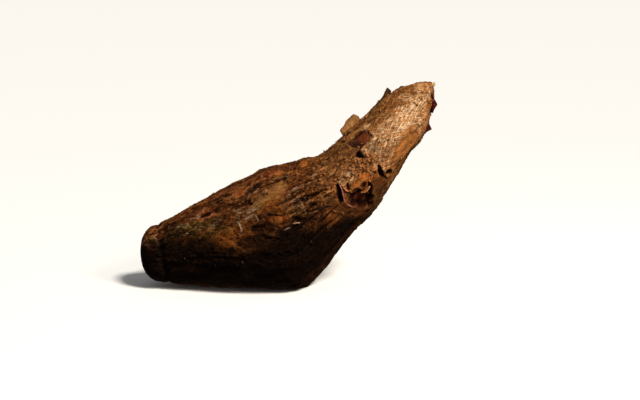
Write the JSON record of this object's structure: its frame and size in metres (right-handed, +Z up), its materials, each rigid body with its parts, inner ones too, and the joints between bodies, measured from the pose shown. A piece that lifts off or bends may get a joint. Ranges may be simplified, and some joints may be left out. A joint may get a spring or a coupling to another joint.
{
  "type": "cassava root",
  "caption": "Whole cassava root with brown fibrous bark: blunt tip, thick belly it rests on, raised neck with torn bark and a cut stem end.",
  "frame": {"origin": "on the surface the root lies on, under the centre of its bounding box", "axes": "+X from the blunt tip to the cut stem end, +Y to the root's far side, +Z up"},
  "size_m": [0.2368, 0.0949, 0.1652],
  "materials": {
    "bark": "dry fibrous brown bark, matt, with tan and reddish rubbed patches"
  },
  "bodies": {
    "root": {"cassava_root": "bark"}
  },
  "joints": []
}
